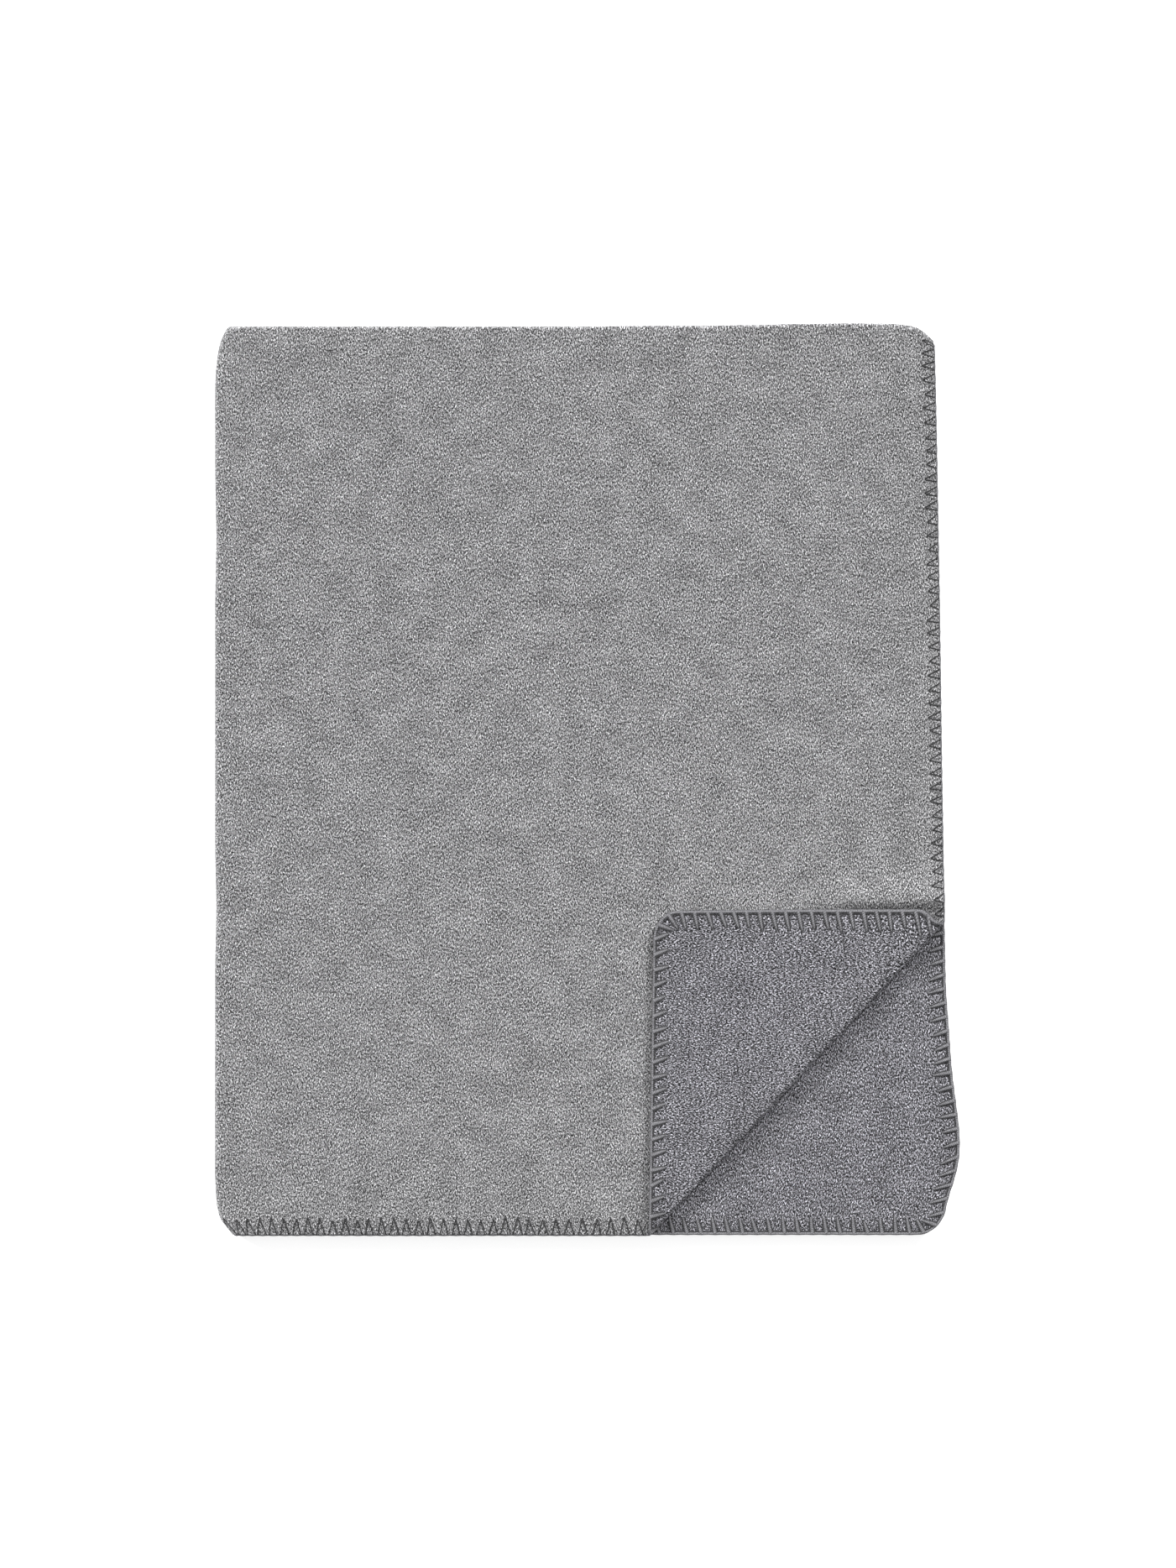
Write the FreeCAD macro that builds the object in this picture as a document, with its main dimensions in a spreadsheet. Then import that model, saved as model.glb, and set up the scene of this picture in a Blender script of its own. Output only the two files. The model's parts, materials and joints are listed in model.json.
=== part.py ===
import FreeCAD, Part
import math
import os
import Sketcher

# A double-face throw blanket, edged all round with heavy yarn, that has been folded in half
# twice into a stack of four plies and has the free corner of its top ply turned back.
# +X points from the side fold to the free side edges, +Y from the free foot edges to the head
# folds, +Z up. The origin is on the floor, under the middle of the stack.

doc = FreeCAD.newDocument("FoldedThrow")
sheet = doc.addObject("Spreadsheet::Sheet", "Sizes")

SIZES = [
    ("folded_width", 600.0),  # side fold to the free side edges: half the throw's width
    ("folded_length", 752.0),  # head fold to the lowest foot edge: half the throw's length
    ("cloth_thickness", 3.2),
    ("ply_gap", 0.4),  # clearance between one ply and the next
    ("hinge_gap", 0.3),  # clearance from a fold's hinge line to the cloth that swings on it
    ("crease_gap", 0.45),  # the same at the corner crease, measured along the edges
    ("corner_flare", 13.8),  # how far the second ply's corner spreads past the side edges
    ("flare_height", 68.0),  # foot to the widest point of that flare
    ("flare_radius", 34.0),
    ("flare_run", 261.0),  # foot to where the flare begins
    ("foot_radius", 12.0),  # rounding of the second ply's foot corner
    ("foot_reach", 20.0),  # side edge to the centre of that rounding
    ("side_slant", 6.3),  # how far the top ply's side edge leans in at the head
    ("top_foot_creep", 0.8),  # each ply's foot edge stops this far short of the lowest
    ("second_foot_creep", 4.0),
    ("third_foot_creep", 1.6),
    ("second_side_creep", 1.5),  # and its side edge this far inside the top ply's
    ("third_side_creep", 7.0),
    ("bottom_side_creep", 9.0),
    ("corner_side_leg", 257.0),  # crease's end on the side edge, up from the foot
    ("corner_foot_leg", 242.0),  # crease's end on the foot edge, in from the side
    ("flap_width", 238.0),  # turned corner, from the side edge to its free edge
    ("flap_height", 266.7),  # turned corner, from the foot to its free edge
    ("crease_inset", 5.0),  # the crease's roll stops this far from both edges
    ("head_inset", 9.0),  # the side folds stop this far from the head, at the rounded corner
]


class Size:
    """A length with the sheet formula that it comes from."""

    def __init__(self, value, formula):
        self.value = value
        self.formula = formula

    def __add__(self, other):
        other = as_size(other)
        return Size(self.value + other.value, f"({self.formula} + {other.formula})")

    def __sub__(self, other):
        other = as_size(other)
        return Size(self.value - other.value, f"({self.formula} - {other.formula})")

    def __mul__(self, other):
        other = as_size(other)
        return Size(self.value * other.value, f"({self.formula} * {other.formula})")

    def __truediv__(self, other):
        other = as_size(other)
        return Size(self.value / other.value, f"({self.formula} / {other.formula})")

    def __neg__(self):
        return Size(-self.value, f"(0 - {self.formula})")


def as_size(number):
    return number if isinstance(number, Size) else Size(float(number), str(number))


def fill_sheet():
    """Write every size to the sheet and return it by name."""
    sizes = {}
    for row, (alias, value) in enumerate(SIZES, start=1):
        sheet.set(f"A{row}", alias)
        sheet.set(f"B{row}", str(value))
        sheet.setAlias(f"B{row}", alias)
        sizes[alias] = Size(value, f"Sizes.{alias}")
    doc.recompute()
    return sizes


S = fill_sheet()

# positions that follow from the sizes
thickness = S["cloth_thickness"]
pitch = thickness + S["ply_gap"]
rim = thickness / 2  # the edging yarn rounds each raw edge over half the cloth's thickness
roll_outer = thickness + S["ply_gap"] / 2
roll_inner = S["ply_gap"] / 2
stack_middle = pitch * 2 - S["ply_gap"] / 2
left = -(S["folded_width"] + S["corner_flare"]) / 2
side = left + S["folded_width"]
head = S["folded_length"] / 2
foot = -S["folded_length"] / 2
hinge_x = left + stack_middle
ply_left = hinge_x + S["hinge_gap"]
ply_head = head - roll_outer
crease_slope = S["corner_side_leg"] / S["corner_foot_leg"]
crease_top = foot + S["corner_side_leg"]
crease_foot = side - S["corner_foot_leg"]
crease_z = pitch * 4 - S["ply_gap"] / 2
flap_left = side - S["flap_width"]
flap_top = foot + S["flap_height"]

BOTTOM, THIRD, SECOND, TOP, TURNED = 0, 1, 2, 3, 4  # levels of the stack

nodes = []


def keep(thing, label):
    thing.Label = label
    nodes.append(thing)
    return thing


def bind(thing, name, size):
    thing.setExpression(name, size.formula)


def place(thing, x, y, z):
    """Put an object at three sizes, keeping the way it is turned."""
    for axis, size in zip("xyz", (x, y, z)):
        bind(thing, f"Placement.Base.{axis}", as_size(size))


def polygon_body(label, corners, level):
    """One ply or piece of ply: a polygon of bound corners, padded to the cloth's thickness."""
    body = doc.addObject("PartDesign::Body", label.title().replace("_", ""))
    sketch = body.newObject("Sketcher::SketchObject", "Outline")
    ground = [p for p in body.Origin.OriginFeatures if p.Role == "XY_Plane"][0]
    sketch.AttachmentSupport = [(ground, "")]
    sketch.MapMode = "FlatFace"
    points = [FreeCAD.Vector(x.value, y.value, 0) for x, y in corners]
    count = len(points)
    for i in range(count):
        sketch.addGeometry(Part.LineSegment(points[i], points[(i + 1) % count]), False)
    for i in range(count):
        sketch.addConstraint(Sketcher.Constraint("Coincident", i, 2, (i + 1) % count, 1))
    for i, (x, y) in enumerate(corners):
        for kind, size in (("DistanceX", x), ("DistanceY", y)):
            index = sketch.addConstraint(Sketcher.Constraint(kind, i, 1, size.value))
            sketch.setExpression(f"Constraints[{index}]", size.formula)
    pad = body.newObject("PartDesign::Pad", "Cloth")
    pad.Profile = sketch
    bind(pad, "Length", thickness)
    body.Tip = pad
    place(body, 0, 0, pitch * level)
    return keep(body, label)


def turn_to(outward, along):
    """The turn that takes a half cylinder's round side to outward and its axis to along."""
    return FreeCAD.Rotation(outward.cross(along), outward, along, "ZYX")


def half_cylinder(radius, length, outward, along):
    round_part = doc.addObject("Part::Cylinder", "HalfRound")
    round_part.Angle = 180
    bind(round_part, "Radius", radius)
    bind(round_part, "Height", length)
    round_part.Placement.Rotation = turn_to(outward, along)
    return round_part


def half_ring(label, outer, inner, length, start, outward, along):
    """A fold: cloth that turns half way round a line, from start and along it."""
    fold = doc.addObject("Part::Cut", label.title().replace("_", ""))
    fold.Base = half_cylinder(outer, length, outward, along)
    fold.Tool = half_cylinder(inner, length, outward, along)
    for half in (fold.Base, fold.Tool):
        place(half, *start)
    return keep(fold, label)


def bead(label, start, length, outward, along):
    """A straight run of edging yarn, half round against a raw edge."""
    run = half_cylinder(rim, length, outward, along)
    place(run, *start)
    return keep(run, label)


X = FreeCAD.Vector(1, 0, 0)
Y = FreeCAD.Vector(0, 1, 0)


def crease_x(y):
    """Where the corner crease crosses a height."""
    return crease_foot + (y - foot) / crease_slope


def crease_y(x):
    return foot + (x - crease_foot) * crease_slope


# The two lower plies are plain rectangles with yarn on their side and foot edges.
for name, level, foot_creep, side_creep in (
    ("bottom_ply", BOTTOM, as_size(0), S["bottom_side_creep"]),
    ("third_ply", THIRD, S["third_foot_creep"], S["third_side_creep"]),
):
    edge_x = side - side_creep - rim
    edge_y = foot + foot_creep + rim
    z = pitch * level + rim
    corners = [
        (ply_left, edge_y),
        (edge_x, edge_y),
        (edge_x, ply_head),
        (ply_left, ply_head),
    ]
    polygon_body(name, corners, level)
    bead(f"{name}_side_edging", (edge_x, edge_y, z), ply_head - edge_y, X, Y)
    bead(f"{name}_foot_edging", (ply_left, edge_y, z), edge_x - ply_left, -Y, X)

# The top ply's side edge leans in towards the head, and its corner is cut at the crease.
edge_x = side - rim
edge_y = foot + S["top_foot_creep"] + rim
cut_x = crease_x(edge_y) - S["crease_gap"]
cut_y = crease_y(edge_x) + S["crease_gap"]
corners = [
    (ply_left, edge_y),
    (cut_x, edge_y),
    (edge_x, cut_y),
    (edge_x - S["side_slant"], ply_head),
    (ply_left, ply_head),
]
polygon_body("top_ply", corners, TOP)
top_z = pitch * TOP + rim
bead("top_ply_foot_edging", (ply_left, edge_y, top_z), crease_foot - ply_left - rim, -Y, X)
rise = ply_head.value - cut_y.value - rim.value
lean = math.hypot(rise, S["side_slant"].value)
upward = FreeCAD.Vector(-S["side_slant"].value / lean, rise / lean, 0)
outward = FreeCAD.Vector(upward.y, -upward.x, 0)
side_run = half_cylinder(rim, as_size(lean) - S["hinge_gap"], outward, upward)
place(side_run, edge_x, cut_y + rim, top_z)
keep(side_run, "top_ply_side_edging")

# The head folds join the plies in pairs; the yarn goes round each fold's open end.
head_length = side - S["side_slant"] - rim - ply_left
for name, level in (("lower_head_fold", BOTTOM), ("upper_head_fold", SECOND)):
    z = pitch * level + roll_outer
    half_ring(name, roll_outer, roll_inner, head_length, (ply_left, ply_head, z), Y, X)
    end = (ply_left + head_length, ply_head, z)
    half_ring(f"{name}_edging", roll_outer, roll_inner, rim, end, Y, X)

# The side folds join the pairs: the outer one wraps the inner one.
fold_foot = foot + S["second_foot_creep"]
fold_length = head - S["head_inset"] - fold_foot - rim
for name, outer in (("outer_side_fold", stack_middle), ("inner_side_fold", roll_outer)):
    inner = outer - thickness
    start = (hinge_x, fold_foot + rim, stack_middle)
    half_ring(name, outer, inner, fold_length, start, -X, Y)
    start = (hinge_x, fold_foot, stack_middle)
    half_ring(f"{name}_edging", outer, inner, rim, start, -X, Y)


def circle_path(circles):
    """The closed path, anticlockwise, that wraps circles (x, y, radius) in their order."""
    count = len(circles)
    starts, ends = [], []
    for i in range(count):
        x0, y0, r0 = circles[i]
        x1, y1, r1 = circles[(i + 1) % count]
        far = math.hypot(x1 - x0, y1 - y0)
        ux, uy = (x1 - x0) / far, (y1 - y0) / far
        lean_in = (r0 - r1) / far
        reach = math.sqrt(1 - lean_in * lean_in)
        normal = FreeCAD.Vector(ux * lean_in + uy * reach, uy * lean_in - ux * reach, 0)
        starts.append((FreeCAD.Vector(x0, y0, 0) + normal * r0, normal))
        ends.append((FreeCAD.Vector(x1, y1, 0) + normal * r1, normal))
    edges = []
    for i, (x, y, r) in enumerate(circles):
        arrive, before = ends[i - 1]
        leave, after = starts[i]
        if r > 0:
            middle = (before + after).normalize()
            top = FreeCAD.Vector(x, y, 0) + middle * r
            edges.append(Part.Arc(arrive, top, leave).toShape())
        edges.append(Part.makeLine(leave, ends[i][0]))
    return Part.Face(Part.Wire(edges))


# The second ply's free corner spreads out in a rounded flare, so its outline is built from
# circles, and its side edging is the band between that outline and one a rim further out.
second_foot = foot + S["second_foot_creep"]
second_edge = side - S["second_side_creep"]
corner_x = side - S["foot_reach"]
corner_y = second_foot + S["foot_radius"]
flare_x = side + S["corner_flare"] - S["flare_radius"]
flare_y = foot + S["flare_height"]


def second_outline(spread):
    """The second ply's outline, spread past its raw edges by this much."""
    raw = rim.value - spread
    return circle_path(
        [
            (ply_left.value, second_foot.value + raw, 0),
            (corner_x.value, corner_y.value, S["foot_radius"].value - raw),
            (flare_x.value, flare_y.value, S["flare_radius"].value - raw),
            (second_edge.value - raw, foot.value + S["flare_run"].value, 0),
            (second_edge.value - raw - S["side_slant"].value, ply_head.value, 0),
            (ply_left.value, ply_head.value, 0),
        ]
    )


def solid_feature(name, shape):
    feature = doc.addObject("Part::Feature", name.title().replace("_", ""))
    feature.Shape = shape
    feature.Placement = FreeCAD.Placement()
    place(feature, 0, 0, pitch * SECOND)
    return keep(feature, name)


upward_cloth = FreeCAD.Vector(0, 0, thickness.value)
second_cloth = second_outline(0).extrude(upward_cloth)
second_rimmed = second_outline(rim.value).extrude(upward_cloth)
beside_corner = Part.makeBox(
    side.value, S["folded_length"].value, thickness.value,
    FreeCAD.Vector(corner_x.value, foot.value, 0),
)
solid_feature("second_ply", second_cloth)
solid_feature("second_ply_side_edging", second_rimmed.cut(second_cloth).common(beside_corner))
start = (ply_left, second_foot + rim, pitch * SECOND + rim)
bead("second_ply_foot_edging", start, corner_x - ply_left, -Y, X)

# The turned-back corner lies on the top ply, and a small roll of cloth joins the two.
corners = [
    (flap_left + rim, crease_y(flap_left + rim) + S["crease_gap"]),
    (side - S["crease_gap"], crease_top + S["crease_gap"]),
    (side - S["crease_gap"], flap_top - rim),
    (flap_left + rim, flap_top - rim),
]
polygon_body("turned_corner", corners, TURNED)
flap_z = pitch * TURNED + rim
across = side - S["crease_gap"] - flap_left - rim
bead("turned_corner_head_edging", (flap_left + rim, flap_top - rim, flap_z), across, Y, X)
low = crease_y(flap_left + rim) + S["crease_gap"]
start = (flap_left + rim, low, flap_z)
bead("turned_corner_side_edging", start, flap_top - rim - low, -X, Y)

crease_length = math.hypot(S["corner_side_leg"].value, S["corner_foot_leg"].value)
crease_way = FreeCAD.Vector(S["corner_foot_leg"].value, S["corner_side_leg"].value, 0)
crease_way.normalize()
crease_out = FreeCAD.Vector(crease_way.y, -crease_way.x, 0)
half_ring(
    "corner_crease",
    roll_outer,
    roll_inner,
    as_size(crease_length) - S["crease_inset"] * 2,
    (
        crease_foot + S["crease_inset"] * crease_way.x,
        foot + S["crease_inset"] * crease_way.y,
        crease_z,
    ),
    crease_out,
    crease_way,
)

doc.recompute()

faults = [o.Label for o in doc.Objects if {"Invalid", "Error"} & set(o.State)]
for node in nodes:
    if node.Shape.isNull() or not node.Shape.isValid() or not node.Shape.Solids:
        faults.append(node.Label)
if faults:
    raise RuntimeError("not built: " + ", ".join(faults))

os.makedirs("parts", exist_ok=True)
for node in nodes:
    node.Shape.exportStep(f"parts/{node.Label}.step")
box = FreeCAD.BoundBox()
for node in nodes:
    box.add(node.Shape.BoundBox)
corners = (box.XMin, box.XMax, box.YMin, box.YMax, box.ZMin, box.ZMax)
print(len(nodes), "nodes,", [round(corner, 3) for corner in corners])
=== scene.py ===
# %% [markdown]
# # A folded two-sided throw
# A throw is one rectangle of felted double-face cloth: pale grey on its face, darker grey on
# its reverse, with heavy yarn stitched over the raw edge all round. Here it has been folded in
# half twice into four plies, and the free corner of its top ply is turned back.
# Modelling the folded stack directly would hide how the plies join. So the throw is made as a
# maker makes it, flat and at its cut size, and then every point of cloth and yarn goes
# through the same folds. That keeps the stitches on the cloth and the cloth its true size.

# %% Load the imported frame
import json
import math

import bmesh
import bpy
import numpy as np
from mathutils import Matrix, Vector


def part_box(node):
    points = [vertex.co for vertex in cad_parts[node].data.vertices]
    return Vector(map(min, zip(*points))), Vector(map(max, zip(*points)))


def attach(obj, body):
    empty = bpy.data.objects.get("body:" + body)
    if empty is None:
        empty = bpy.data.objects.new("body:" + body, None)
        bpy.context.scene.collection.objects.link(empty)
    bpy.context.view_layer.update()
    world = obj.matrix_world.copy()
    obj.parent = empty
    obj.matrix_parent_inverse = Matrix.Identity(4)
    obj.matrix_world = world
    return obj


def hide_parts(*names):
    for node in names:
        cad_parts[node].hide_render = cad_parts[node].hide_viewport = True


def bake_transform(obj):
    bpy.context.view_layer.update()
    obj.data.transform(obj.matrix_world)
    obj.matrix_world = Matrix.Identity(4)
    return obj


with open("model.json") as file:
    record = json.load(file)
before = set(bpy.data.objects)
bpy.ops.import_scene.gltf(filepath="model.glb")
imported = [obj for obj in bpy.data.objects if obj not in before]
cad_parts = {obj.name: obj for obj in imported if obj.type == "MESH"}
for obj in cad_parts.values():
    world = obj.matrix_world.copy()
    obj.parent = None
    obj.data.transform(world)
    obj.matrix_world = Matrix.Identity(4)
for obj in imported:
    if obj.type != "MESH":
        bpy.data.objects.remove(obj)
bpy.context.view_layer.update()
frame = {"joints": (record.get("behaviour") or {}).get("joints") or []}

joints = {joint["name"]: joint for joint in frame["joints"]}

# %% [markdown]
# ## Sizes
# The cut size is a common one for a throw, 120 by 150 cm. The plies lie 3.6 mm apart, middle to
# middle, because that is how far apart the plies of the frame are. The two hinges of the frame
# give the lines that the side fold and the turned corner bend about.

# %% Sizes of the cloth and places of its folds
MM = 0.001
CUT = (1.2, 1.5)
HALF = (0.6, 0.75)
PITCH = 3.6 * MM
CLOTH = 3.0 * MM
CUT_CORNER = 20 * MM
FOLD_RADIUS = PITCH / 2
SIDE_X, _, SIDE_Z = joints["book_fold"]["pos_m"]
HEAD_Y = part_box("upper_head_fold")[1].y - 2.2 * MM - FOLD_RADIUS - CLOTH / 2
CREASE_AT = np.array(joints["corner_fold"]["pos_m"])
CREASE_WAY = np.array(joints["corner_fold"]["axis"])
CREASE_OUT = np.array([CREASE_WAY[1], -CREASE_WAY[0], 0.0])
CREASE_ROLL = math.pi * FOLD_RADIUS
CREASE_START = CREASE_AT - CREASE_OUT * CREASE_ROLL / 2
print("side fold at x", SIDE_X, "head fold at y", round(HEAD_Y, 5), "crease at", CREASE_AT)


# %% [markdown]
# ## Folding
# A fold is a bend of half a turn round a line. Up to the fold the cloth runs straight; over the
# half turn, its distance along the cloth becomes an angle; past it, the cloth runs straight back.
# `w` is the height above the middle of the cloth, positive on the pale face, so both faces and
# the yarn take the same bend. The head fold comes first and makes two plies, and the side fold
# then bends both, the outer ply round a larger circle than the inner one.

# %% The two folds
def ease(x):
    x = np.clip(x, 0, 1)
    return x * x * (3 - 2 * x)


def curve(x, *knots):
    """A smooth line through (place, value) knots, in millimetres."""
    at, to = np.array(sorted(knots)).T
    near = [np.interp(x / MM + shift, at, to) for shift in np.linspace(-9, 9, 7)]
    return np.mean(near, axis=0) * MM


def fold(u, v, w):
    """Points of the flat cloth, after both folds, with what settling them needs to know."""
    beyond_head = v - HALF[1]
    turn = np.clip(beyond_head / FOLD_RADIUS, -math.pi / 2, math.pi / 2)
    down = np.maximum(np.abs(beyond_head) - FOLD_RADIUS * math.pi / 2, 0)
    middle = PITCH - FOLD_RADIUS * np.sin(turn)
    out = PITCH - (FOLD_RADIUS + w) * np.sin(turn)
    y = HEAD_Y + (FOLD_RADIUS + w) * np.cos(turn) - down
    beyond_side = u - HALF[0]
    bend = np.clip(beyond_side / middle, -math.pi / 2, math.pi / 2)
    across = np.maximum(np.abs(beyond_side) - middle * math.pi / 2, 0)
    x = SIDE_X - out * np.cos(bend) + across
    z = SIDE_Z - out * np.sin(bend)
    return x, y, z, {
        "upper": beyond_side < 0,
        "inner": ease((1 + np.sin(turn)) / 2),
        "across": across,
        "reach": HALF[0] - middle * math.pi / 2,
        "down": down,
    }


# %% [markdown]
# ## Settling
# Real cloth is never as exact as the fold. The top ply's side leans in towards the head, the
# second ply's free corner spreads out, the corners of the folds are rounded, and the stack has
# slow waves. Each is a small push that fades away from the edge it belongs to.

# %% Where each ply's free edges come to rest
SIDE_EDGES = {
    "top": ((376, 285.0), (300, 286.8), (150, 289.6), (0, 291.6), (-115, 293.6), (-376, 296.5)),
    "second": (
        (376, 284.2), (300, 285.6), (150, 288.0), (0, 291.0), (-115, 293.6), (-174, 294.8),
        (-243, 299.8), (-290, 305.9), (-312, 306.5), (-332, 302.2), (-350, 295.8), (-376, 292.0),
    ),
    "third": ((376, 281.5), (0, 286.0), (-250, 288.0), (-376, 284.0)),
    "bottom": ((376, 280.5), (0, 284.0), (-376, 280.0)),
}
FOOT_EDGES = {"top": -374.9, "second": -374.4, "third": -374.0, "bottom": -374.6}
SIDE_FOLD_IN = (
    (-390, 26), (-376, 17), (-372, 9), (-366, 4.0), (-355, 0.8), (-330, -0.9), (-150, -0.8),
    (-104, 0.3), (-60, -0.8), (150, -0.8), (200, 0.3), (250, -0.8), (330, -0.8), (348, 0.7),
    (360, 3.0), (367, 5.2), (372, 8.5), (380, 14),
)
HEAD_FOLD_UP = (
    (-310, 0.5), (-35, 0.5), (35, 0.9), (104, 1.4), (139, 1.9), (173, 2.6), (208, 3.1), (245, 3.1),
    (268, 1.7),
)
HEAD_CORNER_DOWN = ((262, 0), (274, -1.5), (281, -6), (286, -14), (292, -22))


def settle(x, y, z, place):
    """Push folded points to where the cloth comes to rest."""
    upper, inner = place["upper"], place["inner"]
    side_edge = np.where(
        upper,
        curve(y, *SIDE_EDGES["top"]) * (1 - inner) + curve(y, *SIDE_EDGES["second"]) * inner,
        curve(y, *SIDE_EDGES["bottom"]) * (1 - inner) + curve(y, *SIDE_EDGES["third"]) * inner,
    )
    foot = np.where(
        upper,
        FOOT_EDGES["top"] * (1 - inner) + FOOT_EDGES["second"] * inner,
        FOOT_EDGES["bottom"] * (1 - inner) + FOOT_EDGES["third"] * inner,
    ) * MM
    share_across = place["across"] / place["reach"]
    run_down = HALF[1] - FOLD_RADIUS * math.pi / 2
    share_down = place["down"] / run_down
    x1 = x + share_across * (side_edge - SIDE_X - place["reach"])
    y1 = y + share_down * (foot - HEAD_Y + run_down)
    from_fold = np.maximum(x1 - SIDE_X + PITCH * 2, 0)
    x2 = x1 + curve(y1, *SIDE_FOLD_IN) * np.exp(-from_fold / (22 * MM))
    y2 = y1 + curve(x1, *HEAD_FOLD_UP) * np.exp(-place["down"] / (70 * MM))
    y2 = y2 + curve(x1, *HEAD_CORNER_DOWN) * np.exp(-place["down"] / (11 * MM))
    height = z / (4 * PITCH)
    ridge = np.where(upper, (1 - inner) * pulled_ridge(x2, y2), 0)
    return x2, y2, z + height * rise(x2, y2) + ridge


RIDGE_CREST = -99.5 * MM
RIDGE_HEIGHT = 4.0 * MM
RIDGE_START = 175 * MM
RIDGE_RUN = 65 * MM


def pulled_ridge(x, y):
    """The small ridge where the turned corner pulls on the top ply, steeper towards the corner."""
    from_crest = y - RIDGE_CREST
    width = np.where(from_crest < 0, 7.5 * MM, 16 * MM)
    grown = ease((x - RIDGE_START) / RIDGE_RUN)
    return RIDGE_HEIGHT * grown * np.exp(-((from_crest / width) ** 2))


def rise(x, y):
    """Slow waves of the stack."""
    waves = (
        0.55 * np.sin(x * 31 + 1.7 * np.sin(y * 9 + 0.4) + 0.6)
        + 0.45 * np.sin(y * 24 + 1.3 * np.sin(x * 13) + 2.1)
        + 0.35 * np.sin((x + y) * 47 + 1.1)
        + 0.3 * np.sin((x * 0.8 - y) * 62 + 4.0)
    )
    by_crease = np.exp(-((beyond_crease(x, y) / (18 * MM)) ** 2))
    return waves * 0.5 * MM * (1 - by_crease)


# %% [markdown]
# ## The turned corner
# Past the crease, the top ply bends up and over and lies on itself with its reverse showing.
# The pale face is on the inside of this bend. A throw's corner never lands quite square, so the
# corner is also drawn along the crease until its two free edges lie in line with the stack's.

# %% Bend the top ply's corner over the crease
CORNER_TIP = np.array([56.0 * MM, -109.7 * MM])
CORNER_WIDTH = 238 * MM
CORNER_TOP = -105 * MM
TOP_PLY_Z = 12.4 * MM
LOOSE_FROM = -270 * MM
LOOSE_OVER = 160 * MM
LIFT_OVER = 120 * MM
HEAD_END_PUSH = 13.5 * MM
ON_FLOOR = 0.05 * MM


def flat_top_ply(u, v, w):
    """Where the top ply's points would lie if its corner weren't turned."""
    x, y, z, place = fold(u, v, w)
    return settle(x, y, z, place)


def beyond_crease(x, y):
    return (x - CREASE_START[0]) * CREASE_OUT[0] + (y - CREASE_START[1]) * CREASE_OUT[1]


def along_crease(x, y):
    return (x - CREASE_START[0]) * CREASE_WAY[0] + (y - CREASE_START[1]) * CREASE_WAY[1]


zero = np.zeros(1)
square_tip = flat_top_ply(zero, zero, zero)
tip_away = float(beyond_crease(square_tip[0], square_tip[1])[0]) - CREASE_ROLL
tip_along = float(along_crease(square_tip[0], square_tip[1])[0])
want_away = -float(beyond_crease(*CORNER_TIP))
want_along = float(along_crease(*CORNER_TIP))
DRAW_AWAY = want_away / tip_away
DRAW_ALONG = (want_along - tip_along) / tip_away
print("the corner is drawn", round(DRAW_AWAY, 3), "away and", round(DRAW_ALONG, 3), "along")


def turn_corner(x, y, z, w):
    """Settled points of the top ply, with what lies past the crease turned over it."""
    beyond = beyond_crease(x, y)
    along = along_crease(x, y)
    middle = z - w
    angle = np.clip(beyond / FOLD_RADIUS, 0, math.pi)
    radius = FOLD_RADIUS - w
    past = np.maximum(beyond - CREASE_ROLL, 0)
    away = np.where(beyond > 0, radius * np.sin(angle) - past * DRAW_AWAY, beyond)
    along = along + past * DRAW_ALONG
    loose = 0.7 + 1.3 * ease(1 - (along - LOOSE_FROM) / LOOSE_OVER)
    lift = loose * MM * ease(1 - past / LIFT_OVER) * ease(past / (6 * MM))
    new_x = CREASE_START[0] + along * CREASE_WAY[0] + away * CREASE_OUT[0]
    new_y = CREASE_START[1] + along * CREASE_WAY[1] + away * CREASE_OUT[1]
    below_top = np.maximum(CORNER_TOP - new_y, 0)
    head_end = (new_x - CORNER_TIP[0]) / CORNER_WIDTH * np.exp(-below_top / (50 * MM))
    new_y = new_y + HEAD_END_PUSH * np.maximum(head_end, 0) * ease(past / (12 * MM))
    flat = middle - TOP_PLY_Z
    there = rise(new_x, new_y)
    level = TOP_PLY_Z + flat + (there - flat) * ease(past / (20 * MM))
    new_z = level + FOLD_RADIUS - radius * np.cos(angle) + lift
    turned = beyond > 0
    return np.where(turned, new_x, x), np.where(turned, new_y, y), np.where(turned, new_z, z)


def lay(u, v, w):
    """Flat cloth to the finished stack: every stitch goes through this, as the cloth does."""
    x, y, z, place = fold(u, v, w)
    x, y, z = settle(x, y, z, place)
    corner = place["upper"] & (place["inner"] < 0.001)
    tx, ty, tz = turn_corner(x, y, z, w)
    z = np.maximum(np.where(corner, tz, z), ON_FLOOR)
    return np.stack([np.where(corner, tx, x), np.where(corner, ty, y), z], axis=-1)


# %% [markdown]
# ## The cloth's mesh
# A sheet could be a plane with Solidify, but that modifier pinches in a bend this tight. The cloth
# is written as two skins instead, pale face and reverse, each placed by the folds at its own
# height, and closed along its edges. Rows are close together where the cloth bends and near its
# edges, and far apart between. The flat place of every point is kept as its UV, so the fibres
# of the material follow the cloth round each fold.

# %% Rows of the flat cloth
def rows(*stops):
    """Rows from stop to stop, each (place, spacing up to it)."""
    made = [stops[0][0]]
    for place, spacing in stops[1:]:
        count = max(1, round((place - made[-1]) / spacing))
        made.extend(np.linspace(made[-1], place, count + 1)[1:])
    return np.array(made)


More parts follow.
